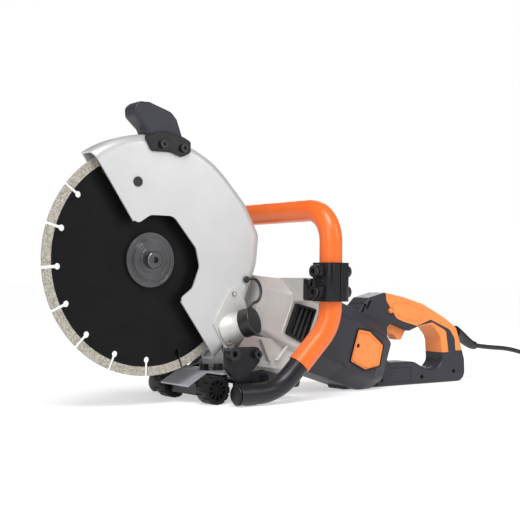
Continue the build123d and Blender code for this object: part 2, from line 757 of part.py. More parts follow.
def clamp_block():
    """Both jaws of the near clamp in one block, before they are split."""
    y = MID - LEG_OUT
    block = box(TUBE_X - 20, TUBE_X + 20, y - 20, y + 20, CLAMP_BOTTOM, CLAMP_TOP)
    block = fillet(block.edges().filter_by(Axis.Z), 9)
    for z in CLAMP_BOLTS:
        block += rod(BOSS_R, (TUBE_X - BOSS_OUT, y, z), (TUBE_X + BOSS_OUT, y, z))
    block -= rod(TUBE_R, (TUBE_X, y, CLAMP_BOTTOM - 1), (TUBE_X, y, CLAMP_TOP + 1))
    for hole in clamp_holes(4.0):
        block -= hole
    return block


def make_clamps():
    block = clamp_block()
    split = TUBE_X + 0.6
    y = MID - LEG_OUT
    arm_near = box(222.5, 252.5, y + 14, -46, -52.5, -21.5)
    arm_near = fillet(arm_near.edges().filter_by(Axis.Y), 4)
    front = block & box(0, TUBE_X - 0.6, -200, 200, -100, 100)
    rear = block & box(split, 400, -200, 200, -100, 100)
    arm_near -= block + rod(TUBE_R, (TUBE_X, y, -60), (TUBE_X, y, 10))
    for hole in arm_bolts(3.0):
        arm_near -= hole
    keep("clamp_jaws", together(both_sides(front), both_sides(rear)))
    keep("handle_arms", both_sides(largest(arm_near)))
    bolts = []
    for z in CLAMP_BOLTS:
        bolt = socket_bolt(4.0, 8.2, 5.0, (TUBE_X - BOSS_OUT, y, z), (1, 0, 0), 2 * BOSS_OUT + 2)
        cap = rod(8.2, (TUBE_X + BOSS_OUT, y, z), (TUBE_X + BOSS_OUT + 5, y, z))
        bolts.append(bolt + fillet(cap.edges().group_by(Axis.X)[-1], 1.2))
    keep("clamp_bolts", together(both_sides(together(*bolts)), *arm_bolts(3.0)))


def arm_bolts(radius):
    """Screws that hold each handle arm on its boss."""
    holes = []
    for z in (-29.0, -45.0):
        near = disc_y(radius, -60, -30, 237.5, z)
        holes += [near, mirror(near, about=Plane.XZ.offset(-MID))]
    return holes


# ---- base: brackets, plate, wheels -----------------------------------------------
def foot_bolts(radius):
    holes = []
    for x in FOOT_BOLT_X:
        for y in FOOT_BOLT_Y:
            holes.append(rod(radius, (x, y, -172), (x, y, -144.5)))
    return holes


def cheek_outline():
    """Side view of the cast bracket that joins a tube foot, the axle and the base."""
    return outline([
        (90, -114, 8), (146, -114, 8), (146, -134, 8), (128, -150, 10), (125, FLOOR + 0.6, 4),
        (106, FLOOR + 0.6, 4), (106, -158, 8), (91, -142, 8)])


def make_base():
    foot = MID - FOOT_OUT
    near = slab(cheek_outline(), -50, -42)
    near = fillet(near.faces().sort_by(Axis.Y)[0].edges(), 1.5)
    saddle = box(107, 124, foot, -46, FLOOR + 0.6, FOOT_Z + 9)
    near += saddle - rod(TUBE_R, (92, foot, FOOT_Z), (126, foot, FOOT_Z))
    near += disc_y(7.0, -43, 2, *CHEEK_BOLTS[1])
    for x, z in CHEEK_BOLTS:
        near -= disc_y(3.0, -60, 10, x, z)
    keep("base_bracket_near", near)
    keep("base_bracket_far", mirror(near, about=Plane.XZ.offset(-MID)))
    deck = plate([(112, -158, 1), (218, -158, 1), (222, -163, 1), (112, -163, 1)], -42, 106)
    lip = plate([(129.2, -176, 3), (129.2, -150, 2), (154, -145.5, 5), (222, -163, 3), (219, -172, 3),
                 (170, -176, 6)], -42, -37.5)
    deck += lip + mirror(lip, about=Plane.XZ.offset(-MID))
    deck += plate([(73, FLOOR + 10), (124, FLOOR + 10), (124, -150.2), (89, -150.2), (73, -159.4)], -4, 56)
    deck -= disc_y(AXLE_R, -10, 70, WHEEL_X, FLOOR + WHEEL_R)
    for hole in foot_bolts(3.0) + lip_bolts(3.0) + carrier_holes():
        deck -= hole
    keep("base_plate", deck)
    upright = [hex_bolt(3.0, 6.2, 4.2, (x, y, -163), (0, 0, 1), 18) for x in FOOT_BOLT_X for y in FOOT_BOLT_Y]
    sideways = [hex_bolt(3.0, 6.4, 5.5, (x, -42, z), (0, 1, 0), 10) for x, z in LIP_BOLTS]
    (knob_x, knob_z), (bolt_x, bolt_z) = CHEEK_BOLTS
    knob = socket_bolt(3.0, 9.0, 8.0, (knob_x, -50, knob_z), (0, 1, 0), 10)
    bolt = socket_bolt(3.0, 6.0, 6.0, (bolt_x, -50, bolt_z), (0, 1, 0), 58)
    through = []
    for x, y in CARRIER_BOLTS:
        washer = pipe(7.5, 3.5, (x, y, -147.6), (x, y, -146.2))
        through.append(hex_bolt(3.5, 7.0, 7.0, (x, y, -146.2), (0, 0, -1), 16) + washer)
    keep("base_bolts", together(*upright, *through, both_sides(together(knob, bolt, *sideways))))


def lip_bolts(radius):
    """Holes of the two bolts in each upturned lip of the base plate."""
    near = [disc_y(radius, -60, -30, x, z) for x, z in LIP_BOLTS]
    return near + [mirror(hole, about=Plane.XZ.offset(-MID)) for hole in near]


def carrier_holes():
    """Bores of the bolts that hold the carrier plate to the nose of the base."""
    return [rod(3.5, (x, y, -164), (x, y, -140)) for x, y in CARRIER_BOLTS]


def make_axle():
    height = FLOOR + WHEEL_R
    carrier = box(88, 122, -41, 105, -150, -147.6)
    carrier += plate([(88, -150), (88, -147.6), (58, -164.8), (58, -167.2)], -9, 61)
    for hole in carrier_holes():
        carrier -= hole
    keep("axle_carrier", carrier)
    half = WHEEL_W / 2
    gap = 0.2
    start = WHEEL_NEAR - half - gap
    end = WHEEL_FAR + half + gap
    limits = [(start - 1.5, start), (WHEEL_NEAR + half + gap, -4), (56, WHEEL_FAR - half - gap), (end, end + 1.5)]
    spacers = [ring_y(6.5, AXLE_R, a, b, WHEEL_X, height) for a, b in limits]
    keep("wheel_axle", together(disc_y(AXLE_R, start - 3, end + 3, WHEEL_X, height), *spacers))


def make_wheels():
    """Two small wheels: a treaded rubber tyre on a spoked hub."""
    height = FLOOR + WHEEL_R
    half = WHEEL_W / 2
    for name, middle in (("near", WHEEL_NEAR), ("far", WHEEL_FAR)):
        y0 = middle - half
        y1 = middle + half
        tyre = ring_y(WHEEL_R, 14.5, y0, y1, WHEEL_X, height)
        for n in range(TREADS):
            x, z = polar(WHEEL_R, n * 360 / TREADS)
            lane = middle - half if n % 2 else middle
            groove = Rot(0, -n * 360 / TREADS, 0) * Box(3.0, half, 1.8)
            tyre -= Pos(WHEEL_X + x, lane + half / 2, height + z) * groove
        hub = ring_y(14.5, AXLE_R + FIT, y0 + 0.8, y1 - 0.8, WHEEL_X, height)
        for side in (y0 + 0.8, y1 - 0.8):
            pocket = ring_y(12.8, 7.2, side - 4, side + 4, WHEEL_X, height)
            for n in range(SPOKES):
                spoke = Rot(0, -n * 360 / SPOKES, 0) * Pos(10, 0, 0) * Box(8, 40, 1.6)
                pocket -= Pos(WHEEL_X, side, height) * spoke
            hub -= pocket
        keep("wheel_" + name, together(tyre, hub))


# ---- guard ----------------------------------------------------------------------
def wedge():
    """The sector of the blade that the guard covers."""
    angles = [GUARD_START, 90, 45, 0, GUARD_END]
    return outline([(0, 0)] + [polar(400, a) for a in angles])


def guard_outline():
    """Side view of the guard: a circle that swells into a dust chute at the rear."""
    upper, lower = 43.5, -47.0
    a, b = math.radians(upper), math.radians(lower)
    start, end = polar(GUARD_R, upper), polar(GUARD_R, lower)
    leaves = (start[0] + 42 * math.sin(a), start[1] - 42 * math.cos(a))
    joins = (end[0] - 32 * math.sin(b), end[1] + 32 * math.cos(b))
    rear = FilletPolyline(start, leaves, (171, 38), (167, -4), (148, -50), joins, end,
                          radius=[34, 24, 30, 60, 20])
    return make_face(rear + ThreePointArc(end, polar(GUARD_R, 180), start))


def guard_block(face, near, corner):
    """Solid of the guard's side view with a rounded near edge."""
    block = slab(face, near, 11.2)
    edge = block.faces().sort_by(Axis.Y)[0].outer_wire().edges()
    return fillet(edge, corner)


def guard_rivet_places():
    spots = [polar(GUARD_R - 6.2, a) for a in (117, 88, 60, -49)]
    return spots + [(160, 30), (156.5, -16)]


def make_guard():
    face = guard_outline()
    skin = guard_block(face, GUARD_NEAR, GUARD_ROUND)
    hollow = slab(offset(face, -GUARD_WALL), GUARD_NEAR + GUARD_WALL, 12)
    edge = hollow.faces().sort_by(Axis.Y)[0].outer_wire().edges()
    hollow = fillet(edge, GUARD_ROUND - GUARD_WALL)
    shell = (skin - hollow) & slab(wedge(), -30, 30)
    notch = outline([(-34.5, 50, 1), (-24.5, 47, 5), (-8, 57.5, 16), (27, 57.5, 16), (62, 17, 14),
                     (68, -8, 14), (57, -36, 12), (39, -49.5, 6), (44, -61, 1), (0, 0, 1)])
    shell -= slab(notch, -30, 0)
    posts = [disc_y(3.4, GUARD_NEAR + GUARD_WALL, 11.2, x, z) for x, z in guard_rivet_places()]
    for post in posts:
        shell += post & skin
    for x, z in guard_rivet_places():
        shell -= disc_y(1.8, -8, 12, x, z)
    shell -= disc_y(5.0, -20, -12, *PLUG_AT)
    shell -= disc_y(14.5, -20, -12, *PORT_AT)
    shell -= disc_y(2.5, -20, -12, *GROMMET_AT)
    for x, z in LEVER_BOLTS:
        shell -= disc_y(3.0, -20, -12, x, z)
    for x, z in CHUTE_SCREWS:
        shell -= disc_y(1.6, -20, -12, x, z)
    keep("guard_shell", largest(shell))
    back = (slab(face, 11.2, GUARD_FAR) & slab(wedge(), -30, 30)) + disc_y(46, 11.2, GUARD_FAR)
    back -= disc_y(HUB_R + FIT, 0, 20)
    for x, z in guard_rivet_places():
        back -= disc_y(1.8, 0, 20, x, z)
    keep("guard_back_plate", back)
    plug = disc_y(5.0, -18, -14.5, *PLUG_AT) + disc_y(6.6, -19.6, -18, *PLUG_AT)
    keep("guard_plug", fillet(plug.edges().group_by(Axis.Y)[0], 1.0))
    return skin


def make_lever(skin):
    """Grab lever on top of the guard, with its bracket plate and bolts."""
    lever = plate([(-8, 150, 1), (-15, 168, 8), (-32, 183, 8), (-33, 195, 8), (-25, 202, 7), (-10, 202.5, 8),
                   (22, 193, 12), (31, 184, 8), (44, 150, 1)], GUARD_NEAR, 11)
    top = lever.edges().filter_by(lambda e: e.center().Z > 172 and abs(e.tangent_at(0.5).Y) < 0.1)
    lever = fillet(top, 3.5) - skin
    keep("guard_lever", largest(lever))
    bracket = plate([(-20, 158, 3), (-9, 139, 6), (20, 140, 40), (36, 134.5, 6), (50, 141, 6), (50, 156, 5),
                     (39, 161, 6), (8, 167, 40)], -21.6, GUARD_NEAR)
    for x, z in LEVER_BOLTS:
        bracket -= disc_y(3.0, -30, 0, x, z)
    bracket = fillet(bracket.faces().sort_by(Axis.Y)[0].outer_wire().edges(), 1.2)
    keep("lever_bracket", bracket)


def make_chute():
    """Dust chute on the guard with its port, cap, screws and the strap of the cap."""
    near = GUARD_NEAR
    face = [(115, -37, 5), (130, -33, 5), (143, -58, 8), (147, -90, 14), (122, -117, 3), (109, -117, 3),
            (89, -84, 3), (92, -77, 3)]
    chute = plate(face, near - 2.6, near)
    chute = fillet(chute.faces().sort_by(Axis.Y)[0].outer_wire().edges(), 1.0)
    base = Vector(PORT_AT[0], near, PORT_AT[1])
    heading = Vector(*PORT_DIRECTION).normalized()
    outside = box(60, 220, -90, near, -160, 0)
    port = rod(17.0, base - heading * 30, base + heading * 29) & outside
    skirt = Plane(origin=base - heading * 10, z_dir=heading) * Circle(26)
    neck = Plane(origin=base + heading * 9, z_dir=heading) * Circle(17)
    port += (loft([skirt, neck]) & box(60, 220, -90, near - 1.0, -160, 0)) & slab(outline(face), -90, near)
    chute += port
    chute -= rod(14.5, base - heading * 20, base + heading * 40)
    for x, z in CHUTE_SCREWS:
        chute -= disc_y(1.6, -60, 0, x, z)
        chute -= disc_y(3.6, -60, near - 2.6, x, z)
    keep("dust_chute", largest(chute))
    cap = rod(19.4, base + heading * 15, base + heading * 32)
    cap -= rod(17.0, base + heading * 14, base + heading * 29)
    cap = fillet(cap.edges().sort_by(lambda e: (e.center() - base).dot(heading))[-1], 2.0)
    cap -= chute
    keep("dust_port_cap", cap)
    x, z = GROMMET_AT
    grommet = disc_y(2.5, near, -14, x, z) + disc_y(4.8, -22.5, near, x, z)
    grommet = fillet(grommet.edges().group_by(Axis.Y)[0], 1.5)
    over = base + heading * 23 + Vector(0, 0, 18.5)
    route = [(x, -22.0, z), (x + 8, -25.5, z + 1), (x + 15, -31, z - 7), (x + 15, -36, z - 22),
             (over.X + 6, over.Y - 1, over.Z + 6), (over.X, over.Y, over.Z)]
    strap = FilletPolyline(*route, radius=[4, 7, 8, 6])
    keep("cap_strap", largest(grommet + along(strap, 2.0) - cap - chute))


def make_guard_fixings():
    """Rivets of the back plate, bolts of the lever and screws of the chute."""
    rivets = [disc_y(1.8, -8, GUARD_FAR, x, z) for x, z in guard_rivet_places()]
    bolts = [socket_bolt(3.0, 5.4, 3.6, (x, -21.6, z), (0, 1, 0), 9.6) for x, z in LEVER_BOLTS]
    face = GUARD_NEAR - 2.6
    screws = [socket_bolt(1.6, 3.2, 1.8, (x, face, z), (0, 1, 0), 7) for x, z in CHUTE_SCREWS]
    keep("guard_fixings", together(*rivets, *bolts, *screws))


# ---- spindle lock -----------------------------------------------------------------
def make_spindle_lock():
    pin = rod(3.0, (0, LOCK_Y, 43), (0, LOCK_Y, 54.5)) + rod(7.0, (0, LOCK_Y, 54.5), (0, LOCK_Y, 60))
    pin = fillet(pin.edges().group_by(Axis.Z)[-1], 1.5)
    keep("spindle_lock_button", pin)


# ---- mains cord ---------------------------------------------------------------------
def cord_route():
    """Corners of the free stretch of the cord, from the sleeve to the coil."""
    return [(668.8, 32, -132.9), (706, 32, -137.4), (750, 32, -140.2), (795, 31, -149), (840, 29, -165),
            (884, 26, FLOOR + CORD_R), (925, 22, FLOOR + CORD_R)]


def tail_route():
    """Corners of the short tail from the coil to the plug."""
    x, y = COIL_AT
    return [(x + 29, y - 50.2, FLOOR + 11.9), (x + 3, y - 65.2, FLOOR + 13.5),
            (x - 23, y - 80.2, FLOOR + 18.6)]


def cord_tube(route):
    """Straight runs joined by the largest tangent arcs that they allow."""
    points = [Vector(*p) for p in route]
    radii = []
    for a, b, c in zip(points, points[1:], points[2:]):
        turn = math.radians((b - a).get_angle(c - b))
        shorter = min((b - a).length, (c - b).length)
        radii.append(0.45 * shorter / math.tan(turn / 2))
    path = FilletPolyline(*points, radius=radii)
    tube = along(path, CORD_R)
    print("cord arcs", [round(r) for r in radii], "length", round(path.length, 1),
          "volume", round(tube.volume), "against", round(math.pi * CORD_R ** 2 * path.length))
    return tube


def make_cord():
    keep("cord_lead", cord_tube(cord_route()))
    x, y = COIL_AT
    profile = Plane.XZ * (Pos(COIL_R, COIL_HEIGHT / 2) * RectangleRounded(COIL_WIDTH, COIL_HEIGHT, 3.8))
    coil = revolve(profile, Axis.Z)
    keep("cord_coil", Pos(x, y, FLOOR) * coil)
    keep("cord_tail", cord_tube(tail_route()))
    start, end = [Vector(*p) for p in tail_route()[1:]]
    heading = (end - start).normalized()
    body = Plane(origin=end - heading * 6, z_dir=heading)
    sleeve = loft([body * Circle(5.2), body.offset(26) * Circle(8.5)])
    shell = loft([body.offset(26) * Circle(12), body.offset(38) * Circle(17.4), body.offset(62) * Circle(18.3)],
                 ruled=True)
    plug = sleeve + shell - rod(CORD_R, end - heading * 8, end)
    keep("mains_plug", plug)
    tip = end + heading * 56
    across = Vector(-heading.Y, heading.X, 0)
    pins = [rod(2.4, tip + across * k, tip + across * k + heading * 19) for k in (-9.5, 9.5)]
    keep("plug_pins", together(*[fillet(p.edges().sort_by(lambda e: (e.center() - tip).dot(heading))[-1], 1.5)
                                 for p in pins]))


def write_all():
    for name, shape in PARTS.items():
        export_step(shape.moved(ORIGIN), "parts/" + name + ".step")
    print(len(PARTS), "sub-parts")


def build_all():
    make_blade()
    make_spindle()
    make_gears()
    make_gearbox()
    make_grilles()
    make_gearbox_trim()
    make_bearings()
    make_motor_housing()
    make_motor_inside()
    make_rear_housing()
    make_handle_screws()
    make_brush_gear()
    make_handle_trim()
    make_strain_relief()
    make_front_handle()
    make_clamps()
    make_base()
    make_axle()
    make_wheels()
    make_lever(make_guard())
    make_chute()
    make_guard_fixings()
    make_spindle_lock()
    make_cord()
    write_all()


build_all()
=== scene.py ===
import json
import math

import bpy
from mathutils import Matrix, Vector


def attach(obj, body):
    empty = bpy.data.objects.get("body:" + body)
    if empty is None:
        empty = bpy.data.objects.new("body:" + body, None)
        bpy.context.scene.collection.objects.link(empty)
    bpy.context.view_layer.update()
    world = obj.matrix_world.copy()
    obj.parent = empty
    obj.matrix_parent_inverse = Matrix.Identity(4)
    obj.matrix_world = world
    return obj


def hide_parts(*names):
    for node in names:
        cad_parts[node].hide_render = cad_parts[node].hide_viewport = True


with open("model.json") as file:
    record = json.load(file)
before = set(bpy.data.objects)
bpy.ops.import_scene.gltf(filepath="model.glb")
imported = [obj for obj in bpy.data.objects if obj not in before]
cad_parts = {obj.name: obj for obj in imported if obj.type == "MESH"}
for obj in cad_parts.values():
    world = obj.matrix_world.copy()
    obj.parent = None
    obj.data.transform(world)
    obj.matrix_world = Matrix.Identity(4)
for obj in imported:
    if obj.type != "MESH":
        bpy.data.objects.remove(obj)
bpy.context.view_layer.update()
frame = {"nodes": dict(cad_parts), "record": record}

# Driving dimensions, in millimetres from the centre of the blade: x rearwards, y to the far side, z up.
BLADE_CENTRE = (259.73, 32.0, -189.2)   # from the row frame's origin to the blade centre
FLOOR = -189.2
MID = 32.0
TILT = math.radians(19.5)
CORD_R = 3.9


def at(x, y, z):
    """A point given in millimetres from the blade centre, in metres in the row frame."""
    ox, oy, oz = BLADE_CENTRE
    return Vector((x - ox, y - oy, z - oz)) / 1000


# ---------------------------------------------------------------- camera and light

CAMERA_AT = (-676.8, -1135.0, -27.0)
CAMERA_LOOKS = (0.6029, 0.7975, 0.0215)
CAMERA_ROLL = 0.5
CAMERA_LENS = 70.15


def make_camera():
    data = bpy.data.cameras.new("camera")
    data.lens = CAMERA_LENS
    data.sensor_width = 36
    data.clip_end = 50
    camera = bpy.data.objects.new("camera", data)
    bpy.context.scene.collection.objects.link(camera)
    forward = Vector(CAMERA_LOOKS).normalized()
    right = forward.cross(Vector((0, 0, 1))).normalized()
    up = right.cross(forward)
    roll = math.radians(CAMERA_ROLL)
    x_axis = right * math.cos(roll) + up * math.sin(roll)
    y_axis = up * math.cos(roll) - right * math.sin(roll)
    turn = Matrix((x_axis, y_axis, -forward)).transposed()
    camera.matrix_world = Matrix.Translation(at(*CAMERA_AT)) @ turn.to_4x4()
    bpy.context.scene.camera = camera


ROOM_LIGHT = 0.24
BACKDROP_LIGHT = 1.0


def area_light(name, place, target, size, power):
    data = bpy.data.lights.new(name, "AREA")
    data.shape = "RECTANGLE"
    data.size, data.size_y = size
    data.energy = power
    lamp = bpy.data.objects.new(name, data)
    bpy.context.scene.collection.objects.link(lamp)
    aim = Vector(target) - Vector(place)
    lamp.location = place
    lamp.rotation_euler = aim.to_track_quat("-Z", "Y").to_euler()


def make_studio():
    world = bpy.data.worlds.new("studio")
    world.use_nodes = True
    tree = world.node_tree
    background = tree.nodes["Background"]
    background.inputs["Color"].default_value = (1, 1, 1, 1)
    ray = tree.nodes.new("ShaderNodeLightPath")
    strength = tree.nodes.new("ShaderNodeMapRange")
    strength.inputs["To Min"].default_value = ROOM_LIGHT
    strength.inputs["To Max"].default_value = BACKDROP_LIGHT
    tree.links.new(ray.outputs["Is Camera Ray"], strength.inputs["Value"])
    tree.links.new(strength.outputs["Result"], background.inputs["Strength"])
    bpy.context.scene.world = world
    bpy.context.scene.view_settings.view_transform = "Standard"
    sun = bpy.data.lights.new("soft_sun", "SUN")
    sun.energy = 2.3
    sun.angle = math.radians(28)
    lamp = bpy.data.objects.new("soft_sun", sun)
    bpy.context.scene.collection.objects.link(lamp)
    lamp.rotation_euler = Vector((0.35, 0.55, -1.0)).to_track_quat("-Z", "Y").to_euler()
    area_light("key", (-1.5, -0.9, 0.9), (0, 0, 0.15), (0.7, 1.1), 9)
    area_light("strip", (0.9, -1.6, 1.0), (0.1, 0, 0.15), (0.5, 1.0), 7)
    area_light("rear", (1.2, 1.4, 1.1), (0, 0, 0.15), (0.8, 1.2), 9)


# ---------------------------------------------------------------- materials

def nodes_of(name):
    made = bpy.data.materials.new(name)
    made.use_nodes = True
    tree = made.node_tree
    return made, tree, tree.nodes["Principled BSDF"]


def noise(tree, coords, scale, detail=4.0, roughness=0.55):
    made = tree.nodes.new("ShaderNodeTexNoise")
    made.inputs["Scale"].default_value = scale
    made.inputs["Detail"].default_value = detail
    made.inputs["Roughness"].default_value = roughness
    tree.links.new(coords, made.inputs["Vector"])
    return made.outputs["Fac"]


def spread_value(tree, fac, low, high, start=0.3, end=0.7):
    made = tree.nodes.new("ShaderNodeMapRange")
    made.inputs["From Min"].default_value = start
    made.inputs["From Max"].default_value = end
    made.inputs["To Min"].default_value = low
    made.inputs["To Max"].default_value = high
    tree.links.new(fac, made.inputs["Value"])
    return made.outputs["Result"]


def blend_colours(tree, fac, low, high, start=0.3, end=0.7):
    ramp = tree.nodes.new("ShaderNodeValToRGB")
    ramp.color_ramp.elements[0].position = start
    ramp.color_ramp.elements[0].color = (*low, 1)
    ramp.color_ramp.elements[1].position = end
    ramp.color_ramp.elements[1].color = (*high, 1)
    tree.links.new(fac, ramp.inputs["Fac"])
    return ramp.outputs["Color"]


def add_speckle(tree, plain, shade, colour, contrast):
    """Bright and dark grit over a colour."""
    grit = noise(tree, plain, GRIT_SCALE, 2.0, 0.8)
    dark = tuple(c * (1 - contrast) for c in colour)
    light = tuple(min(1.0, c * (1 + contrast)) for c in colour)
    mix = tree.nodes.new("ShaderNodeMix")
    mix.data_type = "RGBA"
    mix.inputs["Factor"].default_value = 0.7
    tree.links.new(shade, mix.inputs[6])
    tree.links.new(blend_colours(tree, grit, dark, light, 0.42, 0.58), mix.inputs[7])
    return mix.outputs[2]


def add_bump(tree, height, depth, below=None):
    """Relief of a depth in metres, on top of the relief below it if there is one."""
    bump = tree.nodes.new("ShaderNodeBump")
    bump.inputs["Strength"].default_value = 1.0
    bump.inputs["Distance"].default_value = depth
    tree.links.new(height, bump.inputs["Height"])
    if below:
        tree.links.new(below, bump.inputs["Normal"])
    return bump.outputs["Normal"]


def lathe_rings(tree, plain):
    """The fine rings that a lathe leaves round the blade's axis."""
    centred = tree.nodes.new("ShaderNodeMapping")
    centred.inputs["Location"].default_value = -at(0, 0, 0)
    tree.links.new(plain, centred.inputs["Vector"])
    rings = tree.nodes.new("ShaderNodeTexWave")
    rings.wave_type = "RINGS"
    rings.rings_direction = "Y"
    rings.inputs["Scale"].default_value = RING_SCALE
    rings.inputs["Distortion"].default_value = 0.6
    rings.inputs["Detail"].default_value = 2.0
    tree.links.new(centred.outputs["Vector"], rings.inputs["Vector"])
    return rings.outputs["Fac"]


# Scales of the patterns, in repeats per metre.
DRIFT_SCALE = 28.0
GLOSS_SCALE = 140.0
GRIT_SCALE = 520.0
RING_SCALE = 260.0


def finish_material(name, colour, rough, metal=0.0, vary=0.12, rough_vary=0.06,
                    grain=900.0, grain_depth=0.00004, wave=0.0, wave_depth=0.0, stretch=(1, 1, 1),
                    coat=0.0, specular=0.5, turned=0.0, speckle=0.0):
    """A surface with drifting colour, uneven gloss and a fine grain.

    Where asked it also has a slow waviness, the rings of a lathe, or bright and dark grit.
    Depths are in metres."""
    made, tree, shader = nodes_of(name)
    texture = tree.nodes.new("ShaderNodeTexCoord")
    mapping = tree.nodes.new("ShaderNodeMapping")
    mapping.inputs["Scale"].default_value = stretch
    tree.links.new(texture.outputs["Object"], mapping.inputs["Vector"])
    plain, coords = texture.outputs["Object"], mapping.outputs["Vector"]

    low = tuple(c * (1 - vary) for c in colour)
    high = tuple(min(1.0, c * (1 + vary)) for c in colour)
    shade = blend_colours(tree, noise(tree, plain, DRIFT_SCALE, 6.0), low, high)
    if speckle:
        shade = add_speckle(tree, plain, shade, colour, speckle)
    tree.links.new(shade, shader.inputs["Base Color"])

    uneven = noise(tree, coords, GLOSS_SCALE, 5.0, 0.65)
    gloss = spread_value(tree, uneven, max(0.02, rough - rough_vary), min(1.0, rough + rough_vary))
    tree.links.new(gloss, shader.inputs["Roughness"])

    relief = None
    if wave:
        relief = add_bump(tree, noise(tree, plain, wave, 2.0), wave_depth)
    if turned:
        relief = add_bump(tree, lathe_rings(tree, plain), turned)
    relief = add_bump(tree, noise(tree, coords, grain, 3.0), grain_depth, relief)
    tree.links.new(relief, shader.inputs["Normal"])

    shader.inputs["Specular IOR Level"].default_value = specular
    shader.inputs["Metallic"].default_value = metal
    shader.inputs["Coat Weight"].default_value = coat
    shader.inputs["Coat Roughness"].default_value = 0.12
    return made


MATERIALS = {
    "guard_silver": dict(colour=(0.595, 0.598, 0.604), rough=0.38, metal=0.40, vary=0.03,
                         grain=1400, grain_depth=0.00002, wave=90, wave_depth=0.00004),
    "casting_grey": dict(colour=(0.56, 0.548, 0.53), rough=0.44, metal=0.30, vary=0.08,
                         grain=1100, grain_depth=0.00010, wave=140, wave_depth=0.00012),
    "dark_plastic": dict(colour=(0.030, 0.031, 0.040), rough=0.42, vary=0.10, grain=1600,
                         grain_depth=0.00006, specular=0.35),
    "black_plastic": dict(colour=(0.008, 0.008, 0.009), rough=0.38, vary=0.15, grain=1500,
                          grain_depth=0.00004, specular=0.25),
    "orange_plastic": dict(colour=(0.90, 0.27, 0.062), rough=0.40, vary=0.05, grain=1600,
                           grain_depth=0.00003),
    "orange_rubber": dict(colour=(0.88, 0.150, 0.015), rough=0.34, vary=0.03, rough_vary=0.03, grain=1200,
                          grain_depth=0.000006, coat=0.12),
    "bright_steel": dict(colour=(0.62, 0.62, 0.64), rough=0.28, metal=1.0, vary=0.06, stretch=(1, 8, 1),
                         grain=1300, grain_depth=0.00002),
    "flange_steel": dict(colour=(0.13, 0.13, 0.135), rough=0.25, metal=0.9, vary=0.02, rough_vary=0.01,
                         grain=900, grain_depth=0.000001, turned=0.00002),
    "black_steel": dict(colour=(0.030, 0.030, 0.032), rough=0.30, metal=0.6, vary=0.2, grain=1500,
                        grain_depth=0.00003),
    "clamp_black": dict(colour=(0.009, 0.009, 0.011), rough=0.30, vary=0.15, grain=1300, grain_depth=0.00006,
                        specular=0.28),
    "tube_black": dict(colour=(0.009, 0.009, 0.013), rough=0.36, vary=0.1, grain=900, grain_depth=0.00001,
                       specular=0.4),
    "black_rubber": dict(colour=(0.011, 0.011, 0.013), rough=0.34, vary=0.15, grain=1200,
                         grain_depth=0.00004),
    "cord_rubber": dict(colour=(0.020, 0.020, 0.023), rough=0.5, vary=0.12, grain=1100, grain_depth=0.00006),
    "wheel_rubber": dict(colour=(0.011, 0.011, 0.012), rough=0.48, vary=0.2, grain=1000, grain_depth=0.00008,
                         specular=0.22),
    "plate_light": dict(colour=(0.46, 0.45, 0.50), rough=0.35, metal=0.5, vary=0.06, grain=1300,
                        grain_depth=0.00003),
    "plate_grey": dict(colour=(0.035, 0.035, 0.040), rough=0.35, metal=0.3, vary=0.1, grain=1300,
                       grain_depth=0.00004),
    "motor_iron": dict(colour=(0.20, 0.20, 0.21), rough=0.55, metal=0.8, vary=0.15, grain=900,
                       grain_depth=0.00008),
    "copper": dict(colour=(0.72, 0.32, 0.17), rough=0.35, metal=1.0, vary=0.1, grain=900,
                   grain_depth=0.00003),
    "pin_brass": dict(colour=(0.78, 0.72, 0.55), rough=0.22, metal=1.0, vary=0.04, grain=900,
                      grain_depth=0.00001),
    "blade_black": dict(colour=(0.007, 0.007, 0.008), rough=0.34, vary=0.15, grain=1300, grain_depth=0.00003,
                        specular=0.12, turned=0.000008),
    "diamond_segment": dict(colour=(0.40, 0.37, 0.32), rough=0.70, metal=0.2, vary=0.15, grain=1500,
                            grain_depth=0.00025, speckle=0.45),
}


def make_materials():
    made = {name: finish_material(name, **look) for name, look in MATERIALS.items()}
    for part in frame["record"]["subparts"]:
        node = frame["nodes"][part["node"]]
        look = made[part["material_slot"]]
        if not node.material_slots:
            node.data.materials.append(look)
        for holder in node.material_slots:
            holder.material = look
    return made


# ---------------------------------------------------------------- the CAD's own pieces

SOFT_EDGES = {"guard_shell": 0.0007, "blade_segments": 0.0002, "guard_lever": 0.0008}
ROUND_ALREADY = ("front_handle_tube", "handle_sleeves", "strain_relief", "cord_lead", "cord_coil",
                 "cord_tail", "cap_strap")
EDGE = 0.0004


def soften(node, width):
    """Rounded edges on a CAD piece, with shading that stays flat on its faces."""
    weld = node.modifiers.new("weld", "WELD")
    weld.merge_threshold = 1e-6
    bevel = node.modifiers.new("bevel", "BEVEL")
    bevel.width = width
    bevel.segments = 2
    bevel.limit_method = "ANGLE"
    bevel.angle_limit = math.radians(38)
    bevel.harden_normals = True


def round_curve(name, route, radius, sides=4, steps=10, closed=False):
    """A smooth round curve drawn near the corners of a route, all in millimetres."""
    data = bpy.data.curves.new(name, "CURVE")
    data.dimensions = "3D"
    data.bevel_depth = radius / 1000
    data.bevel_resolution = sides
    data.resolution_u = steps
    data.use_fill_caps = True
    spline = data.splines.new("NURBS")
    spline.points.add(len(route) - 1)
    for point, place in zip(spline.points, route):
        point.co = (*at(*place), 1)
    spline.order_u = 3
    spline.use_cyclic_u = closed
    spline.use_endpoint_u = not closed
    return data


# ---------------------------------------------------------------- cord

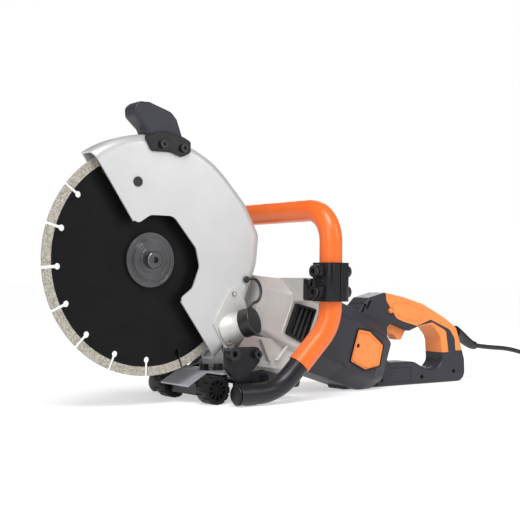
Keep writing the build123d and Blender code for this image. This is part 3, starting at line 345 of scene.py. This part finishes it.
LEAD = [(668.8, 32, -132.9), (706, 32, -137.4), (750, 32, -140.2), (795, 31, -149), (840, 29, -165),
        (884, 26, FLOOR + CORD_R), (925, 22, FLOOR + CORD_R)]
COIL_AT = (919.3, -35.7)
OUTER_TURN = 58.0
TURN_STEP = 8.0
TURN_POINTS = 24
TURNS = 8
SHIFT_OVER = 60.0                       # degrees that each step takes
LEAVES_AT = 300.0
TAIL = [(3, -65.2, 13.5), (-23, -80.2, 18.6)]


def coil_place(travel):
    """Radius and height of the cord after so many degrees of winding.

    It winds inwards on the floor and then outwards on top of itself."""
    radius, height = OUTER_TURN, CORD_R
    shifts = [(270 + 360 * k, -TURN_STEP, 0) for k in range(3)]
    shifts += [(1290, 0, TURN_STEP)]
    shifts += [(1590 + 360 * k, TURN_STEP, 0) for k in range(3)]
    for start, outwards, upwards in shifts:
        part = min(1.0, max(0.0, (travel - start) / SHIFT_OVER))
        ease = part * part * (3 - 2 * part)
        radius += outwards * ease
        height += upwards * ease
    return radius, height


def coil_points():
    first = math.degrees(math.atan2(LEAD[-1][1] - COIL_AT[1], LEAD[-1][0] - COIL_AT[0]))
    last = 360 * (TURNS - 1) + (first - LEAVES_AT) % 360
    count = round(last / 360 * TURN_POINTS)
    points = []
    for k in range(1, count + 1):
        travel = last * k / count
        radius, height = coil_place(travel)
        angle = math.radians(first - travel)
        x = COIL_AT[0] + radius * math.cos(angle)
        y = COIL_AT[1] + radius * math.sin(angle)
        points.append((x, y, FLOOR + height))
    return points


def make_cord(look):
    route = LEAD + coil_points() + [(COIL_AT[0] + x, COIL_AT[1] + y, FLOOR + z) for x, y, z in TAIL]
    data = round_curve("mains_cord", route, CORD_R, sides=6, steps=8)
    data.materials.append(look)
    cord = bpy.data.objects.new("mains_cord", data)
    bpy.context.scene.collection.objects.link(cord)
    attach(cord, "machine")
    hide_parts("cord_lead", "cord_coil", "cord_tail")


# ---------------------------------------------------------------- detailed pieces

def link(name, data, body, slot, look):
    """A new piece that rides on a body and takes the finish given as look; slot is not used."""
    piece = bpy.data.objects.new(name, data)
    data.materials.append(look)
    bpy.context.scene.collection.objects.link(piece)
    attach(piece, body)
    return piece


def bent_rod(name, route, radius, body, slot, look, closed=False):
    """A round rod along a smooth line through given corners, in millimetres."""
    return link(name, round_curve(name, route, radius, closed=closed), body, slot, look)


def lathed(name, start, heading, profile, body, slot, look, sides=40):
    """A turned piece: profile gives (distance along the heading, radius) pairs in millimetres."""
    axis = Vector(heading).normalized()
    side = axis.cross(Vector((0.3, 0.2, 0.9))).normalized()
    other = axis.cross(side)
    verts, faces = [], []
    for along, radius in profile:
        for n in range(sides):
            a = 2 * math.pi * n / sides
            place = Vector(start) + axis * along + (side * math.cos(a) + other * math.sin(a)) * radius
            verts.append(at(*place))
    for ring in range(len(profile) - 1):
        for n in range(sides):
            m = (n + 1) % sides
            a, b = ring * sides, (ring + 1) * sides
            faces.append((a + n, a + m, b + m, b + n))
    faces.append(tuple(range(sides - 1, -1, -1)))
    last = (len(profile) - 1) * sides
    faces.append(tuple(range(last, last + sides)))
    data = bpy.data.meshes.new(name)
    data.from_pydata([tuple(v) for v in verts], [], faces)
    data.validate()
    for polygon in data.polygons:
        polygon.use_smooth = len(polygon.vertices) == 4
    piece = link(name, data, body, slot, look)
    bevel = piece.modifiers.new("bevel", "BEVEL")
    bevel.width = 0.0003
    bevel.segments = 2
    bevel.limit_method = "ANGLE"
    return piece


def extruded(name, corners, y0, y1, body, slot, look, round_edge=0.8):
    """A flat side outline (x, z) made into a slab from y0 to y1, with rounded edges."""
    count = len(corners)
    verts = [at(x, y, z) for y in (y0, y1) for x, z in corners]
    faces = [tuple(range(count)), tuple(range(2 * count - 1, count - 1, -1))]
    faces += [(n, n + count, (n + 1) % count + count, (n + 1) % count) for n in range(count)]
    data = bpy.data.meshes.new(name)
    data.from_pydata([tuple(v) for v in verts], [], faces)
    data.validate()
    piece = link(name, data, body, slot, look)
    bevel = piece.modifiers.new("bevel", "BEVEL")
    bevel.width = round_edge / 1000
    bevel.segments = 4
    bevel.harden_normals = True
    return piece


def on_axis(s, y, h):
    """A place on the motor's own axes, s along it and h above it, in the blade's millimetres."""
    return (s * math.cos(TILT) + h * math.sin(TILT), y, h * math.cos(TILT) - s * math.sin(TILT))


def near_side(place):
    return place


def far_side(place):
    """The same place mirrored to the other side of the machine."""
    x, y, z = place
    return (x, 2 * MID - y, z)


SIDES = (("near", near_side), ("far", far_side))


STRAP_R = 2.1
CAP_BASE = Vector((125, -18, -88))
CAP_HEADING = Vector((0.458, -0.845, 0.279)).normalized()


def make_strap(look):
    """The rubber strap that holds the dust port's cap to the guard, and its button."""
    over = CAP_BASE + CAP_HEADING * 23 + Vector((0, 0, 19.5))
    route = [(143, -21, -24), (146, -25, -22.5), (153, -28.5, -23), (158, -32, -32), (157, -35.5, -44),
             (150, -38, -54), (over.x + 3, over.y - 1, over.z + 6), (over.x, over.y, over.z - 1)]
    strap = bent_rod("cap_strap_rubber", route, STRAP_R, "guard", "black_rubber", look)
    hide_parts("cap_strap")
    profile = [(0, 2.2), (0.6, 4.2), (2.6, 4.8), (4.2, 4.2), (5.2, 2.6)]
    lathed("strap_button", (143, -18.1, -24), (0, -1, 0), profile, "guard", "black_rubber", look)


TUBE_FOOT = (92.5, -71, FLOOR + 15.5)


def make_tube_plugs(look):
    """Domed plugs in the open ends of the front handle's tube."""
    profile = [(0, 11.9), (-1.5, 12.6), (-3.0, 11.6), (-3.6, 8.0), (-3.7, 2.0)]
    for name, move in SIDES:
        lathed("tube_plug_" + name, move(TUBE_FOOT), (1, 0, 0), profile, "machine", "clamp_black", look)


SCREW_FACE = -21.2
CHUTE_SCREWS = ((122, -43.5), (113.5, -110))


def make_chute_screws(look):
    """The two small screws on the face of the dust chute."""
    profile = [(0, 3.4), (0.7, 3.3), (1.3, 2.7), (1.5, 1.7), (0.6, 1.3), (0.5, 0.2)]
    for n, (x, z) in enumerate(CHUTE_SCREWS):
        lathed(f"chute_screw_{n}", (x, SCREW_FACE, z), (0, -1, 0), profile, "guard", "bright_steel", look)


def rounded(corners, radius):
    """Corner points of a closed outline, each corner replaced by a small arc of five points."""
    points = []
    for n, corner in enumerate(corners):
        here = Vector(corner)
        before = Vector(corners[n - 1]) - here
        after = Vector(corners[(n + 1) % len(corners)]) - here
        half = before.angle(after) / 2
        reach = min(radius / math.tan(half), before.length * 0.45, after.length * 0.45)
        start, end = here + before.normalized() * reach, here + after.normalized() * reach
        for k in range(5):
            t = k / 4
            points.append(tuple(start * (1 - t) ** 2 + here * 2 * t * (1 - t) + end * t * t))
    return points


def grown(corners, by):
    """A convex outline moved outwards from its own middle by about so many millimetres."""
    middle = sum((Vector(c) for c in corners), Vector((0, 0))) / len(corners)
    return [tuple(Vector(c) + (Vector(c) - middle).normalized() * by) for c in corners]


COVER_CORNERS = [(358.6, -24.4), (357.6, 25.4), (381, 29.4), (414.4, 18.6), (417.4, -13.8), (391, -27.4)]
COVER_FACE = -25.8
COVER_CORNER_R = 4.5


def make_cover_lines(gap_shade_look, ridge_look):
    """Black rods round each brush cover that paint the shade in the gap there, and the raised border on its
    face.
    """
    for name, move in SIDES:
        # The first line is a black rod that paints the shade in the gap round the cover; the ridge is real
        # relief.
        lines = (("painted_gap_shade", 0.7, COVER_FACE - 0.1, 0.9, "black_plastic", gap_shade_look),
                 ("ridge", -4.2, COVER_FACE - 0.3, 1.1, "orange_plastic", ridge_look))
        for kind, by, y, radius, slot, look in lines:
            border = rounded(grown(COVER_CORNERS, by), COVER_CORNER_R)
            route = [move(on_axis(s, y, h)) for s, h in border]
            bent_rod(f"brush_cover_{kind}_{name}", route, radius, "machine", slot, look, closed=True)


VENT_CORNERS = [(229, -24), (266, -28), (270, 26), (232, 22)]
VENT_FOOT = -15.5
VENT_FACE = -23.5


def ring_plate(name, outer, inner, place, body, slot, look, round_edge=1.6):
    """A raised frame between two matching outlines. place(x, z, level) gives a point of level 0 or 1."""
    count = len(outer)
    verts = [place(*corner, level) for level in (0, 1) for loop in (outer, inner) for corner in loop]
    faces = []
    for n in range(count):
        m = (n + 1) % count
        low_out, low_in, top_out, top_in = 0, count, 2 * count, 3 * count
        faces.append((top_out + n, top_out + m, top_in + m, top_in + n))
        faces.append((low_out + m, low_out + n, low_in + n, low_in + m))
        faces.append((low_out + n, low_out + m, top_out + m, top_out + n))
        faces.append((low_in + m, low_in + n, top_in + n, top_in + m))
    data = bpy.data.meshes.new(name)
    data.from_pydata([tuple(v) for v in verts], [], faces)
    data.validate()
    piece = link(name, data, body, slot, look)
    bevel = piece.modifiers.new("bevel", "BEVEL")
    bevel.width = round_edge / 1000
    bevel.segments = 4
    bevel.limit_method = "ANGLE"
    bevel.angle_limit = math.radians(50)
    bevel.harden_normals = True
    return piece


def make_vent_frames(look):
    """The thick raised frames that stand round the air grilles."""
    outer = rounded(grown(VENT_CORNERS, 8.5), 6)
    inner = rounded(grown(VENT_CORNERS, 0.8), 2.5)
    heights = (VENT_FOOT, VENT_FACE)
    for name, move in SIDES:
        def place(s, h, level, move=move):
            return at(*move(on_axis(s, heights[level], h)))
        ring_plate("vent_frame_" + name, outer, inner, place, "machine", "casting_grey", look)


GUSSETS = ([(169.2, -106.0), (172.2, -107.0), (189.4, -137.6), (184.2, -137.6)],
           [(219.2, -111.0), (222.4, -112.8), (201.4, -137.0), (195.8, -137.0)])
CASTING_FACE = -14.0
GUSSET_FACE = -20.0


def make_casting_ribs(look):
    """Tapered gussets between the foot of the casting and its arm, on both sides."""
    for n, corners in enumerate(GUSSETS):
        near = (GUSSET_FACE, CASTING_FACE)
        far = tuple(2 * MID - y for y in near)
        extruded(f"casting_gusset_near_{n}", corners, *near, "machine", "casting_grey", look, 1.2)
        extruded(f"casting_gusset_far_{n}", corners, *far, "machine", "casting_grey", look, 1.2)


FLANGE_RIDGES = ((20.5, -8.5), (24.0, -8.5), (33.2, -6.0))    # radius, and the face it stands on


def make_flange_rings(look):
    """Turned ridges on the outer flange's stepped face."""
    turns = [2 * math.pi * k / 48 for k in range(48)]
    for n, (radius, y) in enumerate(FLANGE_RIDGES):
        route = [(radius * math.cos(t), y, radius * math.sin(t)) for t in turns]
        bent_rod(f"flange_ridge_{n}", route, 0.45, "blade", "flange_steel", look, closed=True)


ARM_BOSS = (222.6, -58.5, -29)


def make_arm_bosses(look, bolt_look):
    """Round bosses with a sunk bolt on the front of each handle arm."""
    profile = [(0, 6.6), (3.2, 6.2), (4.0, 5.4), (4.2, 4.6), (2.4, 4.2), (2.2, 0.5)]
    head = [(0, 3.3), (3.4, 3.2), (3.9, 2.7), (4.0, 1.9), (2.6, 1.7), (2.5, 0.3)]
    for name, move in SIDES:
        place = move(ARM_BOSS)
        lathed("arm_boss_" + name, place, (-1, 0, 0), profile, "machine", "clamp_black", look)
        lathed("arm_bolt_" + name, place, (-1, 0, 0), head, "machine", "black_steel", bolt_look)


FLOOR_REACH = 30                          # metres


def make_floor():
    """A white floor that the shadows fall on, lit a little from within so that it meets the backdrop."""
    data = bpy.data.meshes.new("floor")
    reach = FLOOR_REACH
    data.from_pydata([(-reach, -reach, 0), (reach, -reach, 0), (reach, reach, 0), (-reach, reach, 0)], [],
                     [(0, 1, 2, 3)])
    floor = bpy.data.objects.new("floor", data)
    bpy.context.scene.collection.objects.link(floor)
    made, tree, shader = nodes_of("floor_white")
    shader.inputs["Base Color"].default_value = (0.55, 0.55, 0.55, 1)
    shader.inputs["Roughness"].default_value = 0.9
    shader.inputs["Specular IOR Level"].default_value = 0.0
    shader.inputs["Emission Color"].default_value = (1, 1, 1, 1)
    shader.inputs["Emission Strength"].default_value = 0.52
    data.materials.append(made)


make_camera()
make_studio()
make_floor()
LOOKS = make_materials()
make_cord(LOOKS["cord_rubber"])
for node_name, node in frame["nodes"].items():
    if node_name not in ROUND_ALREADY:
        soften(node, SOFT_EDGES.get(node_name, EDGE))
for node_name, look_name in (("blank_label_plate", "dark_plastic"), ("wheel_axle", "clamp_black")):
    frame["nodes"][node_name].material_slots[0].material = LOOKS[look_name]
make_strap(LOOKS["black_rubber"])
make_tube_plugs(LOOKS["clamp_black"])
make_chute_screws(LOOKS["bright_steel"])
make_cover_lines(LOOKS["black_plastic"], LOOKS["orange_plastic"])
make_vent_frames(LOOKS["casting_grey"])
make_casting_ribs(LOOKS["casting_grey"])
make_arm_bosses(LOOKS["clamp_black"], LOOKS["black_steel"])
make_flange_rings(LOOKS["flange_steel"])
